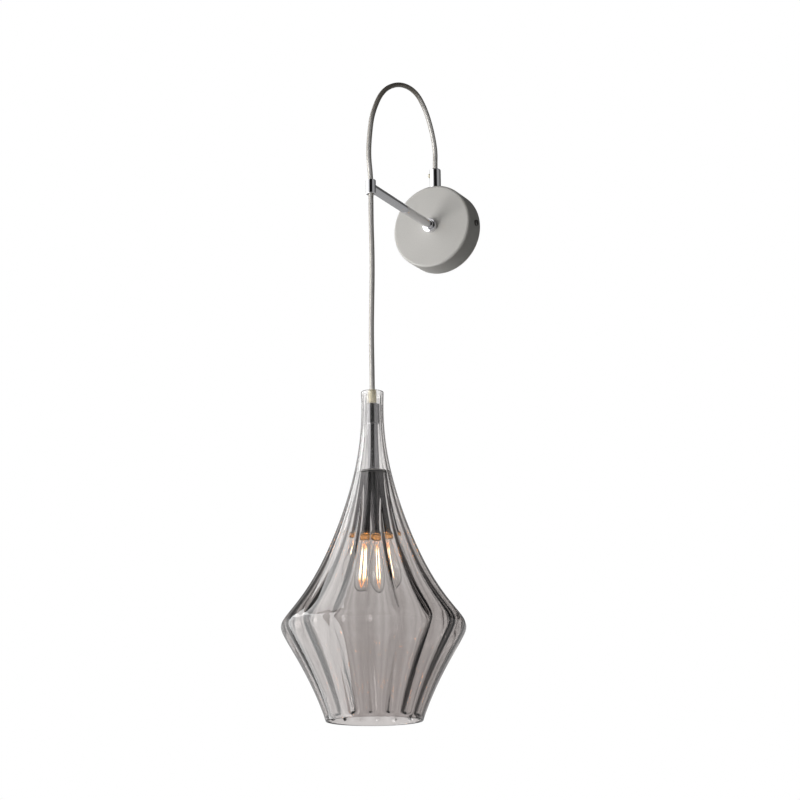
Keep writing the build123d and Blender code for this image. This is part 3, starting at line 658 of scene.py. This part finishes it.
def bulb_outline(inset, steps=24):
    """Envelope outline from the neck down to the tip, drawn in by inset."""
    low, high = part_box("bulb_envelope")
    cap_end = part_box("bulb_cap")[0].z
    neck = BULB_NECK - inset
    wall = BULB_RADIUS - inset
    dome = low.z + BULB_RADIUS
    shoulder = dome + BULB_STRAIGHT
    points = [(neck, high.z - inset), (neck, cap_end)]
    for share in np.linspace(0, 1, steps + 1)[1:]:
        points.append((neck + (wall - neck) * fade(share, 1), cap_end + (shoulder - cap_end) * share))
    for angle in np.linspace(0, math.pi / 2, steps + 1):
        points.append((max(wall * math.cos(angle), ON_AXIS), dome - wall * math.sin(angle)))
    return points


def bulb_envelope():
    """Thin glass bulb, open at its neck inside the cap."""
    outline = bulb_outline(0.0) + bulb_outline(BULB_WALL)[::-1]
    envelope = turned("bulb_glass_envelope", outline, bulb_glass, "bulb_glass", "bulb")
    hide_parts("bulb_envelope")
    envelope.visible_shadow = False


bulb_envelope()

FILAMENT_CIRCLE = 6.2 * MM
FILAMENT_RADIUS = 0.85 * MM
FILAMENT_PIN = 0.3 * MM
FILAMENT_TURNS = np.radians([81, 171, 261, 351])
WIRE_OVERLAP = 0.3 * MM
WIRES_MEET_BELOW = 6.5 * MM
WIRES_MEET_ABOVE = 2.5 * MM
MEETING_CIRCLE_SHARE = 0.08


def straight_wire(start, end, radius, sides=8):
    """Points and faces of an open round wire from start to end."""
    along = (end - start).normalized()
    side = along.orthogonal().normalized()
    across = along.cross(side)
    turns = np.linspace(0, 2 * math.pi, sides, endpoint=False)
    ring = [radius * (math.cos(turn) * side + math.sin(turn) * across) for turn in turns]
    points = [middle + offset for middle in (start, end) for offset in ring]
    return points, ring_faces(2, sides, closed=False)


def filament_rod(middle, low, high, sides=16):
    """Points and faces of an upright rod that tapers to a pin at each end."""
    outline = [
        (ON_AXIS, low),
        (FILAMENT_PIN, low),
        (FILAMENT_PIN, low + 1.2 * MM),
        (FILAMENT_RADIUS, low + 1.6 * MM),
    ]
    outline += [(radius, low + high - height) for radius, height in outline[::-1]]
    turns = np.linspace(0, 2 * math.pi, sides, endpoint=False)
    points = []
    for radius, height in outline:
        for turn in turns:
            points.append(middle + Vector((radius * math.cos(turn), radius * math.sin(turn), height)))
    return points, ring_faces(len(outline), sides, closed=False)


def joined(parts):
    """One list of points and one of faces from several."""
    points, faces = [], []
    for part_points, part_faces in parts:
        first = len(points)
        points += part_points
        faces += [tuple(first + corner for corner in face) for face in part_faces]
    return points, faces


def filament_set():
    """Four lit rods, with wires that meet at the glass stem and near the bulb's tip."""
    low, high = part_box("bulb_filaments")
    wire_ends = (
        (low.z + WIRE_OVERLAP, low.z - WIRES_MEET_BELOW),
        (high.z - WIRE_OVERLAP, high.z + WIRES_MEET_ABOVE),
    )
    rods, wires = [], []
    for turn in FILAMENT_TURNS:
        across, ahead = FILAMENT_CIRCLE * math.cos(turn), FILAMENT_CIRCLE * math.sin(turn)
        middle = Vector((across, AXIS_Y + ahead, 0))
        share = MEETING_CIRCLE_SHARE
        inward = Vector((across * share, AXIS_Y + ahead * share, 0))
        rods.append(filament_rod(middle, low.z, high.z))
        for rod_end, meeting in wire_ends:
            start = middle + Vector((0, 0, rod_end))
            wires.append(straight_wire(start, inward + Vector((0, 0, meeting)), FILAMENT_PIN))

    rod_piece = add_mesh("lit_filaments", *joined(rods), filament, "filament", "bulb")
    wire_piece = add_mesh("filament_lead_wires", *joined(wires), lamp_lit_wire, "filament", "bulb")
    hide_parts("bulb_filaments")
    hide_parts("filament_wires")


filament_set()


# ---------------------------------------------------------------- CAD nodes that keep their shape
def dress(material, *names):
    """Gives CAD nodes a material."""
    for name in names:
        slots = nodes[name].data.materials
        slots.clear()
        slots.append(material.material)


dress(paint, "canopy")
dress(chrome, "arm_tube", "arm_collar", "cord_guide", "cord_grip", "neck_collar", "stem_tube")
dress(dark_chrome, "lamp_cup")
dress(screw_black, "canopy_screws")
dress(ring_metal, "cup_ring")
dress(zinc, "wall_bracket", "arm_stud", "arm_washer", "arm_nut", "grip_nut", "cup_nipple", "cup_nut")
dress(nylon, "guide_liner", "grip_screw", "neck_gland")
dress(white_nylon, "terminal_block")
dress(brass, "terminal_screws", "earth_tag", "earth_screw", "socket_shell", "socket_contact")
dress(plain_cord, "cable_tail")
dress(core_brown, "live_wire", "holder_wires")
dress(core_blue, "neutral_wire")
dress(core_earth, "earth_wire")
dress(holder_plastic, "lampholder_cap", "lampholder_body")
dress(silicone, "shade_gasket")
dress(nickel, "bulb_contact", "bulb_cap")
dress(black_glass, "bulb_insulator")
dress(bulb_glass, "bulb_stem")


# ---------------------------------------------------------------- studio
FLOOR_HALF = 9.0
FLOOR_HEIGHT = -2.4
FLOOR_SEEN = 0.85
FLOOR_MIRRORED = 0.3


def add_floor():
    """Floor that shows pale to the camera, and in metal and glass, without adding light to the object."""
    mesh = bpy.data.meshes.new("floor")
    corners = ((-1, -1), (1, -1), (1, 1), (-1, 1))
    points = [(x * FLOOR_HALF, y * FLOOR_HALF, FLOOR_HEIGHT) for x, y in corners]
    mesh.from_pydata(points, [], [(0, 1, 2, 3)])
    floor = bpy.data.objects.new("floor", mesh)
    scene.collection.objects.link(floor)
    pale = speckled("pale_floor", (0.86, 0.86, 0.85), 0.02, 0.7, 3)
    rays = pale.node("ShaderNodeLightPath").outputs
    mirrored = pale.math("MAXIMUM", rays["Is Glossy Ray"], rays["Is Transmission Ray"])
    direct = pale.math("MULTIPLY", rays["Is Camera Ray"], FLOOR_SEEN)
    seen = pale.math("MAXIMUM", direct, pale.math("MULTIPLY", mirrored, FLOOR_MIRRORED))
    pale.set("Emission Color", (1.0, 1.0, 1.0, 1.0))
    pale.link(seen, pale.shader.inputs["Emission Strength"])
    mesh.materials.append(pale.material)


def add_softbox(name, place, target, width, height, power, mirrored):
    """Softbox that faces target. A mirrored one shows in metal and glass, and lights nothing matt."""
    light = bpy.data.lights.new(name, "AREA")
    light.shape = "RECTANGLE"
    light.size = width
    light.size_y = height
    light.energy = power
    lamp = bpy.data.objects.new(name, light)
    lamp.visible_glossy = mirrored
    lamp.visible_diffuse = not mirrored
    lamp.visible_transmission = not mirrored
    lamp.location = place
    lamp.rotation_euler = (Vector(target) - Vector(place)).to_track_quat("-Z", "Y").to_euler()
    scene.collection.objects.link(lamp)


def add_world():
    """White background, dark flags for mirrored rays, and soft light from below for matt surfaces."""
    world = bpy.data.worlds.new("studio")
    world.use_nodes = True
    scene.world = world
    sky = Nodes(world.node_tree)
    sky.tree.nodes.clear()
    direction = sky.node("ShaderNodeTexCoord").outputs["Generated"]

    def toward(way, low, high, amount):
        """0 to amount as a ray comes near way; low and high are cosines of the angle between them."""
        dot = sky.node("ShaderNodeVectorMath", operation="DOT_PRODUCT")
        sky.link(direction, dot.inputs[0])
        dot.inputs[1].default_value = Vector(way).normalized()
        span = sky.node("ShaderNodeMapRange", interpolation_type="SMOOTHSTEP")
        sky.link(dot.outputs["Value"], span.inputs["Value"])
        span.inputs["From Min"].default_value = low
        span.inputs["From Max"].default_value = high
        return sky.math("MULTIPLY", span.outputs["Result"], amount)

    def most(*values):
        largest = values[0]
        for value in values[1:]:
            largest = sky.math("MAXIMUM", largest, value)
        return largest

    # The flags stand behind the camera, on the right, at the wall and overhead.
    flags = most(
        toward((0.46, -0.86, 0.2), 0.74, 0.87, 0.99),
        toward((1.0, 0.0, 0.0), 0.2, 0.65, 0.62),
        toward((0.1, 1.0, -0.1), 0.4, 0.7, 0.6),
        toward((0.0, 0.35, 0.9), 0.25, 0.6, 0.9),
    )
    # To the right and left of the view, the background is darker where glass bends it into the picture.
    beside = most(
        toward((0.88, 0.47, 0.0), 0.8, 0.97, 0.55),
        toward((-0.88, -0.47, 0.0), 0.7, 0.95, 0.6),
    )

    # A ray that metal mirrors behind one glass wall has crossed four surfaces. One that is mirrored inside
    # a wall has mostly crossed another number of them, and it sees paler flags.
    rays = sky.node("ShaderNodeLightPath").outputs
    crossed = rays["Transmission Depth"]
    not_four = sky.math("MINIMUM", sky.math("ABSOLUTE", sky.math("SUBTRACT", crossed, 4.0)), 1.0)
    in_glass = sky.math("MULTIPLY", sky.math("MINIMUM", crossed, 1.0), not_four)
    paler = sky.math("MULTIPLY", sky.math("MULTIPLY", flags, in_glass), 0.62)
    studio = sky.math("ADD", sky.math("SUBTRACT", 1.0, flags), paler)

    # A ray that only passed through glass sees the background, and one that was mirrored sees the studio.
    clear = most(rays["Is Glossy Ray"], rays["Is Transmission Ray"])
    mirrored = sky.math("MINIMUM", rays["Glossy Depth"], 1.0)
    not_mirrored = sky.math("SUBTRACT", 1.0, mirrored)
    passed = sky.math("MULTIPLY", not_mirrored, sky.math("SUBTRACT", 1.0, beside))
    reflected = sky.math("MULTIPLY", mirrored, studio)
    seen = sky.math("MULTIPLY", clear, sky.math("ADD", reflected, passed))
    matt = sky.math("SUBTRACT", 1.0, most(rays["Is Camera Ray"], clear))
    below = sky.math("ADD", toward((-0.22, -0.64, -0.74), -0.2, 0.95, 0.93), 0.07)
    lit = sky.math("MULTIPLY", matt, below)
    strength = sky.math("ADD", sky.math("ADD", rays["Is Camera Ray"], seen), lit)

    background = sky.node("ShaderNodeBackground")
    background.inputs["Color"].default_value = (1, 1, 1, 1)
    sky.link(strength, background.inputs["Strength"])
    sky.link(background.outputs["Background"], sky.node("ShaderNodeOutputWorld").inputs["Surface"])


add_floor()
add_softbox("key_left", (-1.1, -1.6, -0.9), (0, -0.1, -0.25), 0.9, 1.1, 24, mirrored=False)
add_softbox("glass_card", (-1.1, -1.33, -0.9), (0, -0.172, -0.9), 0.92, 2.6, 40, mirrored=True)
add_softbox("glass_card_side", (-1.5, -0.45, -0.9), (0, -0.45, -0.9), 1.25, 2.9, 37, mirrored=True)
add_softbox("glass_card_high", (-1.07, -0.48, 0.7), (0, -0.172, -0.45), 1.2, 1.2, 14, mirrored=True)
add_world()
